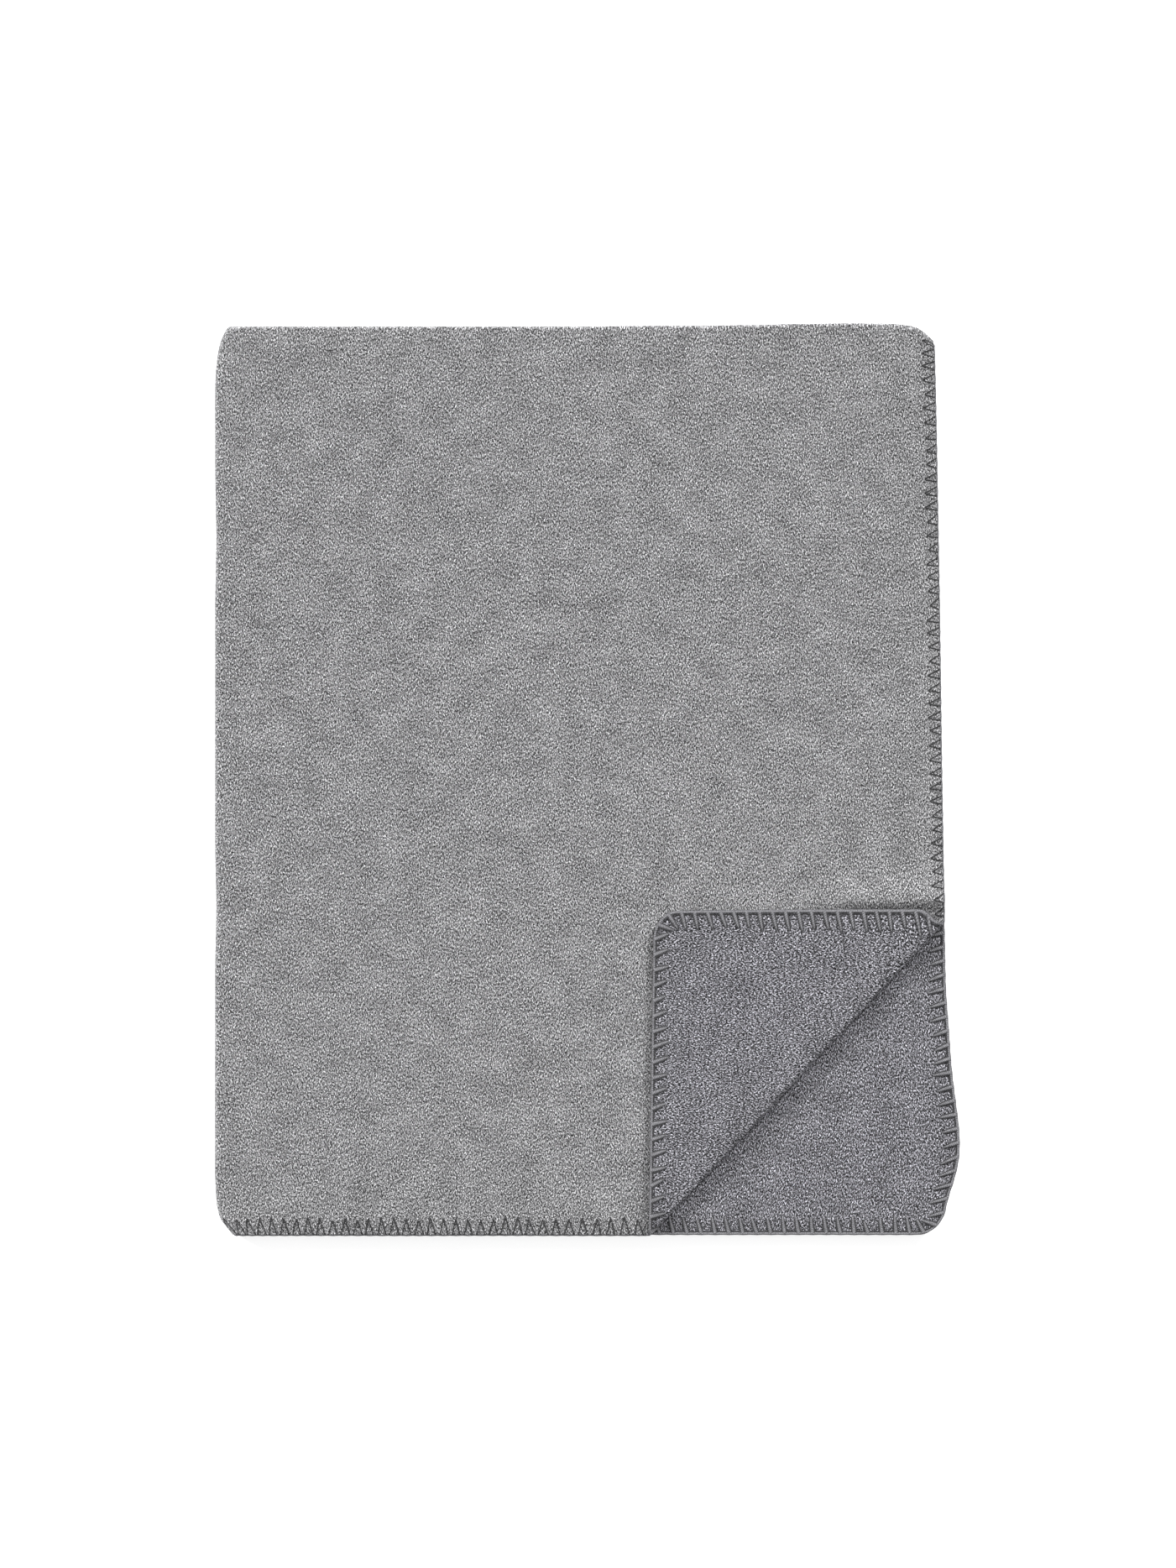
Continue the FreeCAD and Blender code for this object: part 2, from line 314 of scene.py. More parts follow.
HEAD_BEND = FOLD_RADIUS * math.pi / 2
EDGE = 16 * MM
GRID = 7 * MM
RIDGE_ROWS = (260 * MM, 296 * MM)
v_rows = rows(
    (0, 0), (EDGE, 2 * MM), (RIDGE_ROWS[0], GRID), (RIDGE_ROWS[1], 2 * MM),
    (HALF[1] - 12 * MM, GRID), (HALF[1] - HEAD_BEND, 2 * MM), (HALF[1], 0.4 * MM),
    (HALF[1] + HEAD_BEND, 0.4 * MM), (HALF[1] + 12 * MM, 2 * MM),
    (CUT[1] - EDGE, GRID), (CUT[1], 2 * MM),
)
side_share = rows(
    (0, 0), (0.02, 0.004), (1 - EDGE / HALF[0], GRID / HALF[0]), (1, 2 * MM / HALF[0])
)
bend_share = rows((-1, 0), (1, 1 / 8))
print(len(v_rows), "rows along the cloth,", len(side_share), "from side fold to side edge")


def half_bend(v):
    """Half the cloth that the side fold takes, at a row: more in the outer ply."""
    turn = np.clip((v - HALF[1]) / FOLD_RADIUS, -math.pi / 2, math.pi / 2)
    return (PITCH - FOLD_RADIUS * np.sin(turn)) * math.pi / 2


def round_cut(u, v):
    """Draw points near the cloth's four corners in to the rounded cut."""
    du = np.maximum(np.abs(u - HALF[0]) - (HALF[0] - CUT_CORNER), 0) / CUT_CORNER
    dv = np.maximum(np.abs(v - HALF[1]) - (HALF[1] - CUT_CORNER), 0) / CUT_CORNER
    both = np.hypot(du, dv)
    scale = np.where(both > 1e-9, np.maximum(du, dv) / np.maximum(both, 1e-9), 1)
    in_corner = (du > 0) & (dv > 0)
    sign_u, sign_v = np.sign(u - HALF[0]), np.sign(v - HALF[1])
    new_u = HALF[0] + sign_u * (HALF[0] - CUT_CORNER + du * scale * CUT_CORNER)
    new_v = HALF[1] + sign_v * (HALF[1] - CUT_CORNER + dv * scale * CUT_CORNER)
    return np.where(in_corner, new_u, u), np.where(in_corner, new_v, v)


def half_thickness(u, v):
    """Half the cloth's thickness, less where the edging grips it."""
    inside = np.minimum(HALF[0] - np.abs(u - HALF[0]), HALF[1] - np.abs(v - HALF[1]))
    return CLOTH / 2 * (0.62 + 0.38 * ease(inside / (12 * MM)))


# %% Make one patch of cloth
FACE, REVERSE = 0, 1


def patch(name, u, v, put=lay):
    """A closed two-skin mesh on a grid of flat places u, v."""
    u, v = round_cut(u, v)
    half = half_thickness(u, v)
    tall, wide = u.shape
    count = tall * wide
    points = np.concatenate(
        [put(u.ravel(), v.ravel(), half.ravel()), put(u.ravel(), v.ravel(), -half.ravel())]
    )
    number = np.arange(count).reshape(tall, wide)
    a, b = number[:-1, :-1].ravel(), number[:-1, 1:].ravel()
    c, d = number[1:, 1:].ravel(), number[1:, :-1].ravel()
    top = np.stack([a, b, c, d], axis=1)
    under = np.stack([d, c, b, a], axis=1) + count
    ring = np.concatenate(
        [number[0, :], number[1:, -1], number[-1, -2::-1], number[-2:0:-1, 0]]
    )
    after = np.roll(ring, -1)
    rim = np.stack([after, ring, ring + count, after + count], axis=1)
    mesh = bpy.data.meshes.new(name)
    mesh.from_pydata(points.tolist(), [], np.concatenate([top, under, rim]).tolist())
    flat = np.tile(np.stack([u.ravel(), v.ravel()], axis=1), (2, 1))
    corners = np.zeros(len(mesh.loops), dtype=np.int32)
    mesh.loops.foreach_get("vertex_index", corners)
    uv = mesh.uv_layers.new(name="Flat")
    uv.data.foreach_set("uv", flat[corners].astype(np.float32).ravel())
    height = mesh.attributes.new("height", "FLOAT", "POINT")
    height.data.foreach_set(
        "value", np.concatenate([half.ravel(), -half.ravel()]).astype(np.float32)
    )
    index = np.concatenate(
        [np.zeros(len(top)), np.ones(len(under)), np.zeros(len(rim))]
    ).astype(np.int32)
    mesh.polygons.foreach_set("material_index", index)
    mesh.update()
    piece = bpy.data.objects.new(name, mesh)
    bpy.context.scene.collection.objects.link(piece)
    return piece


def only(piece):
    """Select this piece and nothing else."""
    bpy.ops.object.select_all(action="DESELECT")
    piece.select_set(True)
    bpy.context.view_layer.objects.active = piece


def finish_cloth(piece):
    """Point the faces outwards, and shade the cloth smooth but for its cut edges."""
    only(piece)
    bpy.ops.object.mode_set(mode="EDIT")
    bpy.ops.mesh.select_all(action="SELECT")
    bpy.ops.mesh.normals_make_consistent(inside=False)
    bpy.ops.object.mode_set(mode="OBJECT")
    bpy.ops.object.shade_smooth_by_angle(angle=math.radians(50))
    print(piece.name, len(piece.data.polygons), "faces")
    return piece


# %% [markdown]
# ## Six patches
# The stack opens at its side fold and the corner turns at its crease, so the cloth is divided
# there: two halves and a corner that ride on their bodies, and between them three narrow strips.
# The upper half and the corner start as one patch. It is cut along the crease while the top ply
# still lies flat, because there the cut is one straight plane.

# %% The halves and the strips of the side fold
def half_grid(sign):
    v = np.repeat(v_rows[:, None], len(side_share), axis=1)
    start = half_bend(v)
    return HALF[0] + sign * (start + side_share[None, :] * (HALF[0] - start)), v


def bend_grid(v_part):
    v = np.repeat(v_part[:, None], len(bend_share), axis=1)
    return HALF[0] + bend_share[None, :] * half_bend(v), v


lower_cloth = finish_cloth(patch("lower_cloth", *half_grid(1)))
outer_rows = v_rows[v_rows <= HALF[1] + 1e-9]
inner_rows = v_rows[v_rows >= HALF[1] - 1e-9]
outer_fold_cloth = finish_cloth(patch("outer_fold_cloth", *bend_grid(outer_rows)))
inner_fold_cloth = finish_cloth(patch("inner_fold_cloth", *bend_grid(inner_rows)))


# %% The upper half, cut along the crease
def lay_unturned(u, v, w):
    return np.stack(flat_top_ply(u, v, w), axis=-1)


def cut_top_ply(name, lines, keep):
    """The upper half with its top ply cut along lines beside the crease, and part of it kept.

    keep says which top-ply faces stay, by their distance past the crease.
    """
    piece = patch(name, *half_grid(-1), put=lay_unturned)
    shape = bmesh.new()
    shape.from_mesh(piece.data)
    uv = shape.loops.layers.uv.active
    normal = Vector(CREASE_OUT)

    def on_top_ply(face):
        return all(loop[uv].uv.y < HALF[1] - HEAD_BEND for loop in face.loops)

    for line in lines:
        faces = [f for f in shape.faces if on_top_ply(f)]
        edges = {e for f in faces for e in f.edges}
        verts = {v for f in faces for v in f.verts}
        bmesh.ops.bisect_plane(
            shape, geom=list(verts) + list(edges) + faces, dist=1e-7,
            plane_co=Vector(CREASE_START) + normal * line, plane_no=normal,
        )
    gone = []
    for face in shape.faces:
        middle = face.calc_center_median()
        past = beyond_crease(middle.x, middle.y)
        if not keep(on_top_ply(face), past):
            gone.append(face)
    bmesh.ops.delete(shape, geom=gone, context="FACES")
    open_edges = [e for e in shape.edges if e.is_boundary]
    bmesh.ops.holes_fill(shape, edges=open_edges, sides=0)
    shape.to_mesh(piece.data)
    shape.free()
    return piece


def turn_piece(piece):
    """Bend a piece of the top ply over the crease."""
    mesh = piece.data
    place = np.zeros(len(mesh.vertices) * 3)
    mesh.vertices.foreach_get("co", place)
    x, y, z = place.reshape(-1, 3).T
    height = np.zeros(len(mesh.vertices), dtype=np.float32)
    mesh.attributes["height"].data.foreach_get("value", height)
    turned = np.stack(turn_corner(x, y, z, height.astype(float)), axis=1)
    mesh.vertices.foreach_set("co", turned.ravel())
    mesh.update()


upper_cloth = finish_cloth(cut_top_ply("upper_cloth", [0], lambda top, past: not top or past < 0))
roll_lines = list(np.linspace(0, CREASE_ROLL, 9))
crease_cloth = cut_top_ply(
    "crease_cloth", roll_lines, lambda top, past: top and 0 < past < CREASE_ROLL
)
corner_cloth = cut_top_ply(
    "corner_cloth", [CREASE_ROLL], lambda top, past: top and past > CREASE_ROLL
)
for piece in (crease_cloth, corner_cloth):
    turn_piece(piece)
    finish_cloth(piece)

# %% [markdown]
# ## The edging
# The yarn is worked over the raw edge in a blanket stitch. A cord of it runs along the very rim,
# with a thin strand in painted shade beside it on the reverse. From each loop a fat leg between two
# thin strands in painted shade, which draw the shade along its sides, slants down the reverse to a
# needle hole, and on the pale face the thread comes back up as a V, so the face shows a zigzag. One
# stitch is drawn on the flat cloth as tubes and repeated all round the cut, corners included, and
# then folded with it. The yarn's finish paints shade on the sides of every tube, and thin strands,
# the V's thread among them, take only that painted shade, so that they stay dark.


# %% Walk round the cut edge
def edge_walk(distance):
    """A place on the rounded cut, at a distance round it, with the inward direction there."""
    straight = (CUT[0] - 2 * CUT_CORNER, CUT[1] - 2 * CUT_CORNER)
    arc = CUT_CORNER * math.pi / 2
    corners = (
        (CUT[0] - CUT_CORNER, CUT_CORNER),
        (CUT[0] - CUT_CORNER, CUT[1] - CUT_CORNER),
        (CUT_CORNER, CUT[1] - CUT_CORNER),
        (CUT_CORNER, CUT_CORNER),
    )
    starts = ((CUT_CORNER, 0), (CUT[0], CUT_CORNER), (CUT[0] - CUT_CORNER, CUT[1]),
              (0, CUT[1] - CUT_CORNER))
    ways = ((1, 0), (0, 1), (-1, 0), (0, -1))
    left = distance
    for side in range(4):
        length = straight[side % 2]
        way = ways[side]
        inward = (-way[1], way[0])
        if left <= length:
            return (starts[side][0] + way[0] * left, starts[side][1] + way[1] * left), inward, side
        left -= length
        if left <= arc:
            angle = left / CUT_CORNER - math.pi / 2 + side * math.pi / 2
            out = (math.cos(angle), math.sin(angle))
            centre = corners[side]
            place = (centre[0] + out[0] * CUT_CORNER, centre[1] + out[1] * CUT_CORNER)
            return place, (-out[0], -out[1]), side
        left -= arc
    raise ValueError("past the end of the cut edge")


SPACING = 10.1 * MM
WIDER = 1.5 * MM
WIDER_WITHIN = 360 * MM
WIDER_FADE = 100 * MM


def stitch_places():
    """Distances round the cut at which stitches stand: further apart near the free side."""
    places = [0.0]
    while places[-1] < AROUND:
        (u, _), _, _ = edge_walk(places[-1])
        near_side = float(ease((WIDER_WITHIN - u) / WIDER_FADE))
        places.append(places[-1] + SPACING + WIDER * near_side)
    return [place * AROUND / places[-1] for place in places[:-1]]


AROUND = 2 * (CUT[0] + CUT[1] - 4 * CUT_CORNER) + 2 * math.pi * CUT_CORNER
PLACES = stitch_places()
STITCHES = len(PLACES)
print(STITCHES, "stitches,", round(AROUND / STITCHES / MM, 2), "mm apart on average")

# %% Draw one stitch's tubes on the flat cloth
STRAND = 0.46 * MM
LEG = 1.8 * MM
CORD = 1.35 * MM
# How much of the yarn finish's round a tube takes: all of it, or only a thin band of its painted
# shade, which keeps thin strands dark.
ALL_ROUND, PAINTED_SHADE_BAND = 1.0, 0.07
chance = np.random.default_rng(7)


def ring_of(place, way, radius, flatness, sides):
    """Points round one place of a tube, across its way and up through the cloth."""
    angle = np.linspace(0, 2 * math.pi, sides, endpoint=False)
    across = np.array([-way[1], way[0]])
    spread = np.cos(angle)[:, None] * radius * across[None, :]
    height = np.sin(angle) * radius * flatness
    return np.column_stack([place[0] + spread[:, 0], place[1] + spread[:, 1], place[2] + height])


def tube(path, radii, sides, flatness=0.8):
    """Rings along a path of flat places (u, v, w)."""
    path = np.array(path)
    ways = np.gradient(path[:, :2], axis=0)
    rings = []
    for place, way, radius in zip(path, ways, radii):
        length = np.hypot(*way)
        way = way / length if length > 1e-9 else np.array([1.0, 0.0])
        rings.append(ring_of(place, way, radius, flatness, sides))
    return np.array(rings)


def stitch_tubes(index):
    """The legs of one stitch, with their chances of hand work."""
    (u, v), inward, side = edge_walk(PLACES[index])
    inward = np.array(inward)
    along = np.array([inward[1], -inward[0]])
    wobble = chance.normal(0, 1, 6)
    on_side = side % 2 == 1

    def at(down, sideways, height):
        """A flat place, this far in from the rim and along it, at this height on the cloth."""
        place = np.array([u, v]) + inward * down * MM + along * sideways * MM
        return (place[0], place[1], height)

    def skin(down, over):
        return float(half_thickness(u + inward[0] * down * MM, v + inward[1] * down * MM)) + over

    face_deep = (9.2 if on_side else 13.2) + 0.8 * wobble[0]
    lean = (1.8 if on_side else 0.3) + 0.5 * wobble[1]
    open_end = (4.0 if on_side else 3.7) + 0.3 * wobble[4]
    tubes = []
    # The V on the pale face: real thread, coloured only with the yarn's painted shade.
    for hand in (-1, 1):
        path = []
        for share in (0.0, 0.33, 0.66, 0.94, 1.0):
            down = -0.6 + (face_deep + 0.6) * share
            sideways = hand * open_end * (1 - share) + lean * share
            over = 0.3 * STRAND if share < 1 else -1.6 * STRAND
            path.append(at(down, sideways, skin(max(down, 0), over)))
        tubes.append((tube(path, [STRAND] * 5, 5), PAINTED_SHADE_BAND))
    back_deep = 13.2 + 0.9 * wobble[2]
    slant = -4.0 + 0.9 * wobble[3]
    # Two thin strands along the leg's sides, in painted shade that stands for the shade beside the
    # round leg.
    for hand in (-1, 1):
        path = []
        for share, wide in ((0.0, 1.0), (0.3, 1.0), (0.65, 0.8), (0.93, 0.4), (1.0, 0.2)):
            down = back_deep * share
            over = 0.45 * STRAND if share < 1 else -1.6 * STRAND
            path.append(at(down, slant * share + hand * wide * 2.0, -skin(down, over)))
        tubes.append((tube(path, [STRAND] * 5, 5), PAINTED_SHADE_BAND))
    path, radii = [], []
    for share, wide in ((0.0, 1.0), (0.2, 1.0), (0.5, 0.85), (0.8, 0.62), (0.97, 0.4), (1.0, 0.25)):
        down = -0.4 + (back_deep + 0.4) * share
        over = 0.16 * LEG * wide if share < 1 else -0.7 * LEG
        path.append(at(down, slant * share, -skin(max(down, 0), over)))
        radii.append(LEG * wide)
    tubes.append((tube(path, radii, 9, flatness=0.36), ALL_ROUND))
    return tubes


def rim_tubes(index):
    """The cord along the rim to the next stitch, swelling at its loop, and the painted-shade strand
    beside it.
    """
    start = PLACES[index]
    length = (PLACES[index + 1] if index + 1 < STITCHES else AROUND) - start
    path, radii, beside = [], [], []
    for share in (0.0, 0.25, 0.5, 0.75, 1.0):
        (u, v), inward, _ = edge_walk((start + share * length) % AROUND)
        swell = math.cos(2 * math.pi * share)
        down = (1.7 + 0.25 * swell) * MM
        place = (u + inward[0] * down, v + inward[1] * down)
        beside.append((*place, -float(half_thickness(*place)) - 0.45 * STRAND))
        path.append((u - inward[0] * 0.1 * CORD, v - inward[1] * 0.1 * CORD, -0.5 * MM))
        radii.append(CORD * (1 + 0.12 * swell))
    return [
        (tube(path, radii, 8, flatness=0.9), ALL_ROUND),
        (tube(beside, [STRAND] * 5, 5), PAINTED_SHADE_BAND),
    ]


# %% [markdown]
# The yarn is divided as the cloth is: each stitch belongs to the piece of cloth that it is sewn
# to, and the runs on the halves and the corner ride on the same bodies as their cloth.


# %% Sort the stitches by the piece of cloth they hold, and build each run
def run_of(index):
    (u, v), _, _ = edge_walk(PLACES[index])
    beyond = u - HALF[0]
    if abs(beyond) < float(half_bend(np.array(v))) + 1 * MM:
        return "outer_fold_edging" if v < HALF[1] else "inner_fold_edging"
    if beyond > 0:
        return "lower_edging"
    if v < HALF[1] - HEAD_BEND:
        x, y, _ = flat_top_ply(np.array([u]), np.array([v]), zero)
        past = float(beyond_crease(x, y)[0])
        if past > CREASE_ROLL:
            return "corner_edging"
        if past > 0:
            return "crease_edging"
    return "upper_edging"


def build_run(name, stitches):
    """One mesh of all the tubes in a run, folded and settled with the cloth."""
    points, faces, flats = [], [], []
    for index in stitches:
        for rings, turn in stitch_tubes(index) + rim_tubes(index):
            length, sides, _ = rings.shape
            step = turn / sides
            start = sum(len(p) for p in points)
            points.append(rings.reshape(-1, 3))
            ways = np.linalg.norm(np.diff(rings.mean(axis=1), axis=0), axis=1)
            travelled = np.concatenate([[0], np.cumsum(ways)])
            for i in range(length - 1):
                for j in range(sides):
                    k = (j + 1) % sides
                    a, b = start + i * sides + j, start + i * sides + k
                    faces.append([a, b, b + sides, a + sides])
                    low, high = travelled[i], travelled[i + 1]
                    flats += [(low, j * step), (low, (j + 1) * step)]
                    flats += [(high, (j + 1) * step), (high, j * step)]
            for ring, order in ((0, range(sides - 1, -1, -1)), (length - 1, range(sides))):
                faces.append([start + ring * sides + j for j in order])
                flats += [(travelled[ring], j * step) for j in order]
    flat_points = np.concatenate(points)
    placed = lay(*flat_points.T)
    mesh = bpy.data.meshes.new(name)
    mesh.from_pydata(placed.tolist(), [], faces)
    uv = mesh.uv_layers.new(name="Along")
    uv.data.foreach_set("uv", np.array(flats, dtype=np.float32).ravel())
    mesh.update()
    piece = bpy.data.objects.new(name, mesh)
    bpy.context.scene.collection.objects.link(piece)
    only(piece)
    bpy.ops.object.mode_set(mode="EDIT")
    bpy.ops.mesh.select_all(action="SELECT")
    bpy.ops.mesh.normals_make_consistent(inside=False)
    bpy.ops.object.mode_set(mode="OBJECT")
    bpy.ops.object.shade_smooth_by_angle(angle=math.radians(75))
    print(name, len(stitches), "stitches,", len(faces), "faces")
    return piece


stitch_runs = {}
for index in range(STITCHES):
    stitch_runs.setdefault(run_of(index), []).append(index)
edging = {name: build_run(name, stitch_runs[name]) for name in sorted(stitch_runs)}

# %% [markdown]
# ## Finishes
# The cloth is felt-like, with short fibres of several greys lying every way, so its colour is a
# fine speckle with faint soft clouds in it. Noise stretched along two slanted directions gives the
# fibres; a plain fine noise gives the specks. The same pattern drives a low bump, because the
# fibres stand up a little, and a constant sheen gives the soft bright edge that felt has.


# %% A small wrapper that turns Python expressions into shader nodes
class Flow:
    """A value in a material: arithmetic on it adds Math nodes."""

    def __init__(self, shop, socket):
        self.shop = shop
        self.socket = socket

    def _with(self, operation, first, second):
        node = self.shop.add("ShaderNodeMath", {"operation": operation}, {0: first, 1: second})
        return node[0]

    def __add__(self, other):
        return self._with("ADD", self, other)

    def __radd__(self, other):
        return self._with("ADD", other, self)

    def __sub__(self, other):
        return self._with("SUBTRACT", self, other)

    def __rsub__(self, other):
        return self._with("SUBTRACT", other, self)

    def __mul__(self, other):
        return self._with("MULTIPLY", self, other)

    def __rmul__(self, other):
        return self._with("MULTIPLY", other, self)

    def __pow__(self, other):
        return self._with("POWER", self, other)


class Shop:
    """Adds nodes to one material."""

    def __init__(self, name):
        self.material = bpy.data.materials.new(name)
        self.material.use_nodes = True
        self.tree = self.material.node_tree
        self.tree.nodes.clear()

    def add(self, kind, settings=None, values=None):
        """A node of this type, its settings first, then its sockets; returns its outputs."""
        node = self.tree.nodes.new(kind)
        for key, value in (settings or {}).items():
            setattr(node, key, value)
        for key, value in (values or {}).items():
            socket = node.inputs[key]
            if isinstance(value, Flow):
                self.tree.links.new(value.socket, socket)
            else:
                socket.default_value = value
        return [Flow(self, output) for output in node.outputs if output.enabled]

    def mix(self, share, first, second):
        node = self.add(
            "ShaderNodeMix", {"data_type": "RGBA"}, {0: share, 6: first, 7: second}
        )
        return node[0]

    def noise(self, place, scale, detail=2.0, roughness=0.5):
        return self.add(
            "ShaderNodeTexNoise", {},
            {"Vector": place, "Scale": scale, "Detail": detail, "Roughness": roughness},
        )[0]

    def finish(self, colour, height, depth, roughness, sheen, sheen_colour):
        bump = self.add("ShaderNodeBump", {}, {"Height": height, "Distance": depth})[0]
        shader = self.add(
            "ShaderNodeBsdfPrincipled", {},
            {
                "Base Color": colour, "Roughness": roughness, "Normal": bump,
                "Sheen Weight": sheen, "Sheen Roughness": 0.45, "Sheen Tint": sheen_colour,
                "Specular IOR Level": 0.15,
            },
        )[0]
        self.add("ShaderNodeOutputMaterial", {}, {"Surface": shader})
        return self.material


# %% The two faces of the cloth
def fleece(name, middle, contrast, tint, seed):
    shop = Shop(name)
    flat = shop.add("ShaderNodeUVMap", {"uv_map": "Flat"})[0]

    def lying(angle, stretch):
        """The flat place, turned, and squeezed along one way so that noise makes streaks."""
        return shop.add(
            "ShaderNodeMapping", {},
            {"Vector": flat, "Location": (seed, seed * 0.7, 0),
             "Rotation": (0, 0, math.radians(angle)), "Scale": (1, stretch, 1)},
        )[0]

    one_way = shop.noise(lying(40, 0.5), 1050, 1.0, 0.5)
    other_way = shop.noise(lying(-50, 0.6), 1100, 1.0, 0.5)
    specks = shop.noise(flat, 1400, 1.0, 0.5)
    clouds = shop.noise(flat, 45, 4.0, 0.65)
    fibres = one_way + other_way + specks - 1.5
    level = fibres * contrast + middle + (clouds - 0.5) * 0.26
    share = shop.add("ShaderNodeClamp", {}, {0: level})[0] ** 2.2
    colour = shop.mix(share, (0.004, 0.004, 0.004, 1), tint)
    rough = 0.86 + specks * 0.12
    return shop.finish(colour, fibres + clouds * 2.0, 0.3 * MM, rough, 0.3, (0.9, 0.9, 0.95, 1))


def grey(level, blue=0.0):
    """An opaque grey, a little cooler where blue is above 0."""
    return (level * (1 - blue * 0.3), level * (1 - blue * 0.5), level * (1 + blue), 1)


pale_face = fleece("pale_fleece", 0.452, 1.3, grey(1.0, 0.015), 3.1)
dark_reverse = fleece("dark_fleece", 0.353, 1.6, grey(1.0, 0.06), 8.3)


# %% The yarn
FULL_TURN = 6.28318


def yarn_finish():
    """Dark wool, its plies twisted round each other along the thread, and painted shade on each
    tube's sides.
    """
    shop = Shop("edging_yarn_wool")
    along = shop.add("ShaderNodeUVMap", {"uv_map": "Along"})[0]
    u, v, _ = shop.add("ShaderNodeSeparateXYZ", {}, {0: along})
    turn = (u * 650 + v * 2) * FULL_TURN
    twist = shop.add("ShaderNodeMath", {"operation": "SINE"}, {0: turn})[0] * 0.5 + 0.5
    # Painted shade: the colour is bright across the top and bottom of each tube's round and falls
    # to near black at its two sides.
    height = shop.add("ShaderNodeMath", {"operation": "SINE"}, {0: v * FULL_TURN})[0]
    top = height * height
    place = shop.add("ShaderNodeTexCoord")
    fuzz = shop.noise(place[3], 1500, 2.0, 0.6)
    lit = top * (twist * 0.35 + fuzz * 2.4 - 0.65)
    share = shop.add("ShaderNodeClamp", {}, {0: lit})[0]
    colour = shop.mix(share, grey(0.033, 0.02), grey(0.31, 0.04))
    return shop.finish(
        colour, twist + fuzz, 0.3 * MM, 0.8 + fuzz * 0.15, 0.2, (0.7, 0.7, 0.75, 1)
    )


wool = yarn_finish()
cloth_pieces = [
    lower_cloth, upper_cloth, outer_fold_cloth, inner_fold_cloth, crease_cloth, corner_cloth,
]
for piece in cloth_pieces:
    piece.data.materials.append(pale_face)
    piece.data.materials.append(dark_reverse)
for piece in edging.values():
    piece.data.materials.append(wool)

# %% [markdown]
# ## Which body each piece rides on
# Halves and corner ride on their bodies. The strips of the side fold and the crease are baked in
# place and ride on none. The frame's parts that the cloth and yarn replace are hidden.

# %% Ride, and hide the replaced parts
for piece, body in (
    (lower_cloth, "lower_half"), (edging["lower_edging"], "lower_half"),
    (upper_cloth, "upper_half"), (edging["upper_edging"], "upper_half"),
    (corner_cloth, "turned_back_corner"), (edging["corner_edging"], "turned_back_corner"),
):
    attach(piece, body)
for piece, radius in (
    (outer_fold_cloth, 1.5 * PITCH), (edging["outer_fold_edging"], 1.5 * PITCH),
    (inner_fold_cloth, 0.5 * PITCH), (edging["inner_fold_edging"], 0.5 * PITCH),
):
    SIDE_Z - radius
    SIDE_Z + radius
    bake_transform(piece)
for piece in (crease_cloth, edging["crease_edging"]):
    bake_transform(piece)

REPLACED = (
    (lower_cloth, "face_cloth", ("bottom_ply", "third_ply", "lower_head_fold")),
    (upper_cloth, "face_cloth", ("top_ply", "second_ply", "upper_head_fold")),
    (outer_fold_cloth, "face_cloth", ("outer_side_fold",)),
    (inner_fold_cloth, "face_cloth", ("inner_side_fold",)),
    (crease_cloth, "reverse_cloth", ("corner_crease",)),
    (corner_cloth, "reverse_cloth", ("turned_corner",)),
    (edging["lower_edging"], "edging_yarn", (
        "bottom_ply_side_edging", "bottom_ply_foot_edging", "third_ply_side_edging",
        "third_ply_foot_edging", "lower_head_fold_edging",
    )),
    (edging["upper_edging"], "edging_yarn", (
        "top_ply_side_edging", "top_ply_foot_edging", "second_ply_side_edging",
        "second_ply_foot_edging", "upper_head_fold_edging",
    )),
    (edging["outer_fold_edging"], "edging_yarn", ("outer_side_fold_edging",)),
    (edging["inner_fold_edging"], "edging_yarn", ("inner_side_fold_edging",)),
    (edging["corner_edging"], "edging_yarn", (
        "turned_corner_head_edging", "turned_corner_side_edging",
    )),
    (edging["crease_edging"], "edging_yarn", ()),
)
for piece, slot, nodes in REPLACED:
    if nodes:
        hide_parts(*nodes)


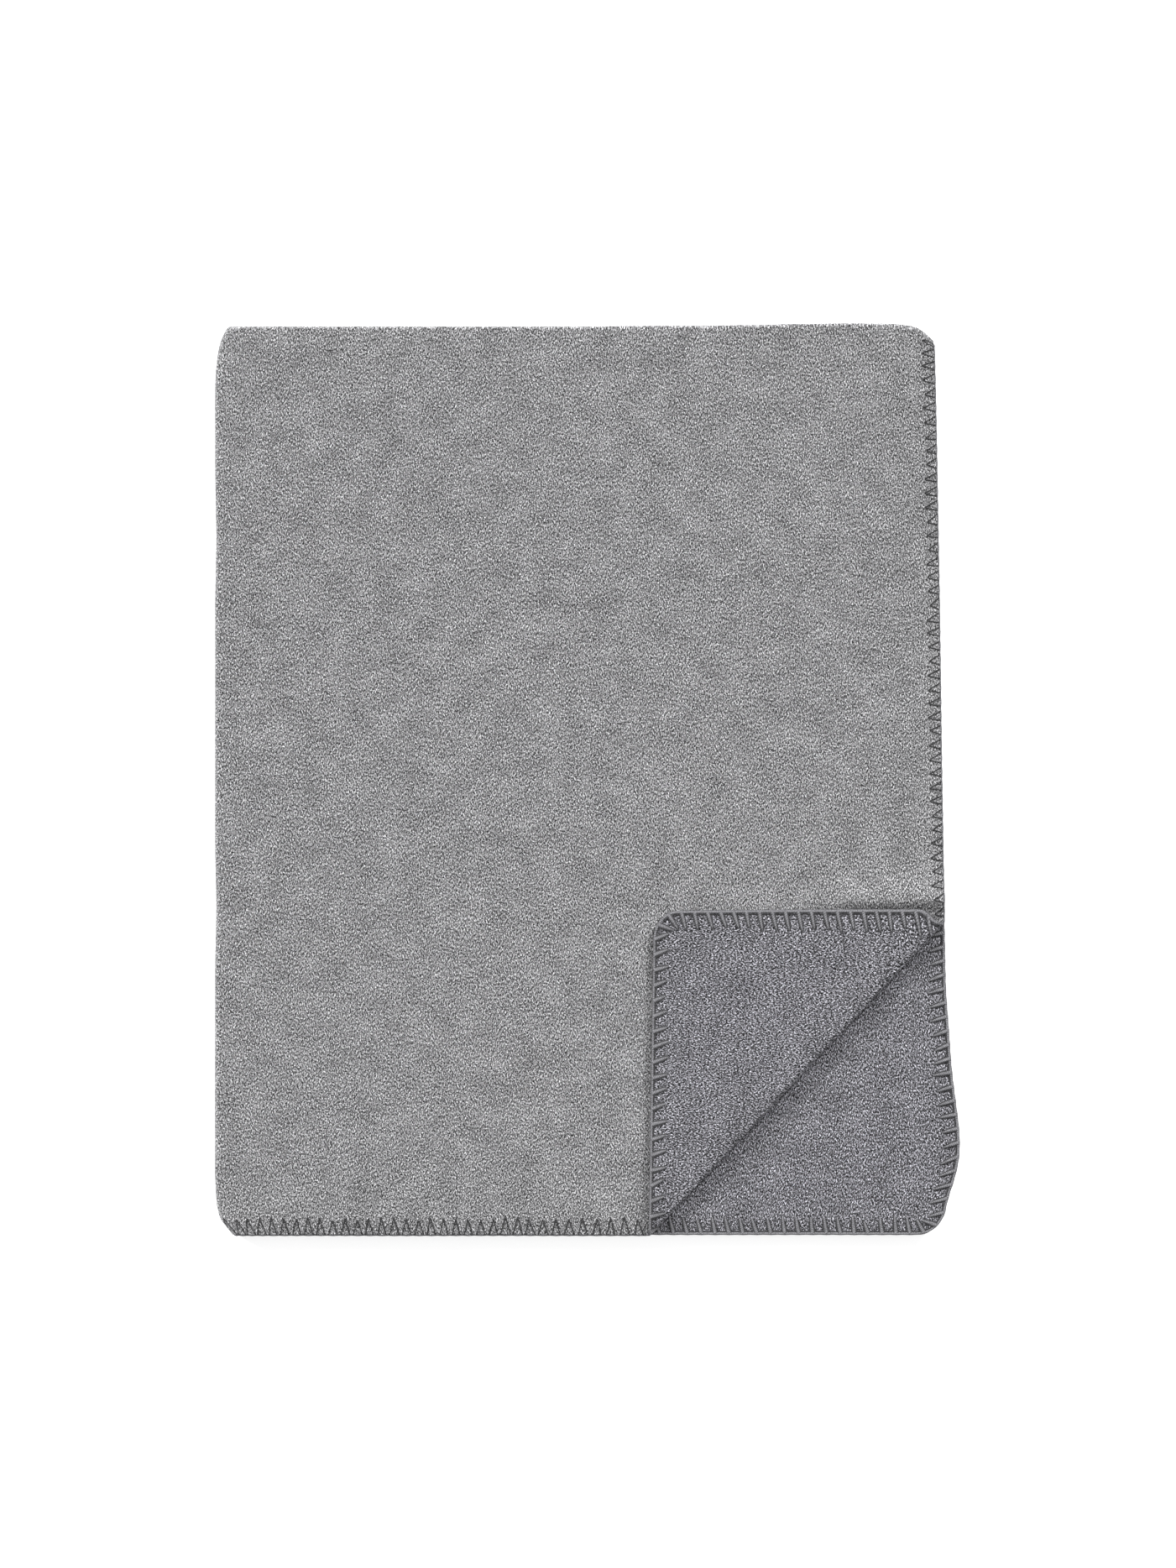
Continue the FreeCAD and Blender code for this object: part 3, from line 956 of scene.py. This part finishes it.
def flat_area(piece):
    """A piece's own share of the flat cloth, from its UV on the pale face."""
    mesh = piece.data
    uv = mesh.uv_layers["Flat"].data
    area = 0.0
    for face in mesh.polygons:
        if face.material_index == FACE:
            p = [uv[i].uv for i in face.loop_indices]
            area += sum(a.x * b.y - b.x * a.y for a, b in zip(p, p[1:] + p[:1])) / 2
    return abs(area)


for piece in cloth_pieces:
    print(piece.name, "covers", round(flat_area(piece), 5), "square metres of the flat cloth")

# %% [markdown]
# ## Floor, light and camera
# A white floor that gives a little light itself, two wide softboxes, one to each side beyond the
# head, and an even sky give a soft studio look. The camera looks straight down.

# %% Stage
bpy.ops.object.select_all(action="DESELECT")
bpy.ops.mesh.primitive_plane_add(size=80, location=(0, 0, 0))
floor = bpy.context.active_object
floor.name = "floor"
paint = Shop("floor_paint")
shader = paint.add(
    "ShaderNodeBsdfPrincipled", {},
    {"Base Color": grey(0.9), "Roughness": 0.9, "Emission Color": grey(1.0),
     "Emission Strength": 0.65},
)[0]
paint.add("ShaderNodeOutputMaterial", {}, {"Surface": shader})
floor.data.materials.append(paint.material)

scene = bpy.context.scene
scene.view_settings.view_transform = "Standard"
world = bpy.data.worlds.new("studio")
scene.world = world
world.use_nodes = True
sky = world.node_tree.nodes["Background"]
sky.inputs["Color"].default_value = (1, 1, 1, 1)
sky.inputs["Strength"].default_value = 0.43


def soft_light(name, place, strength):
    """A far, wide softbox: parallel light with a soft edge, the same all over the throw."""
    lamp = bpy.data.lights.new(name, "SUN")
    lamp.angle = math.radians(16)
    lamp.energy = strength
    holder = bpy.data.objects.new(name, lamp)
    scene.collection.objects.link(holder)
    holder.location = place
    holder.rotation_euler = (Vector((0, 0, 0)) - Vector(place)).to_track_quat("-Z", "Y").to_euler()


soft_light("left_softbox", (-2.0, 1.5, 0.98), 4.2)
soft_light("right_softbox", (1.45, 2.1, 0.98), 4.0)

# %% Camera straight above
LENS_HEIGHT = 3.0
VIEW_HEIGHT = 1.2927
SENSOR = 36
lens = bpy.data.cameras.new("camera")
lens.sensor_width = SENSOR
lens.lens = SENSOR * LENS_HEIGHT / VIEW_HEIGHT
camera = bpy.data.objects.new("camera", lens)
scene.collection.objects.link(camera)
camera.location = (0.7 * MM, -3.5 * MM, LENS_HEIGHT + 14 * MM)
camera.rotation_euler = (0, 0, 0)
scene.camera = camera
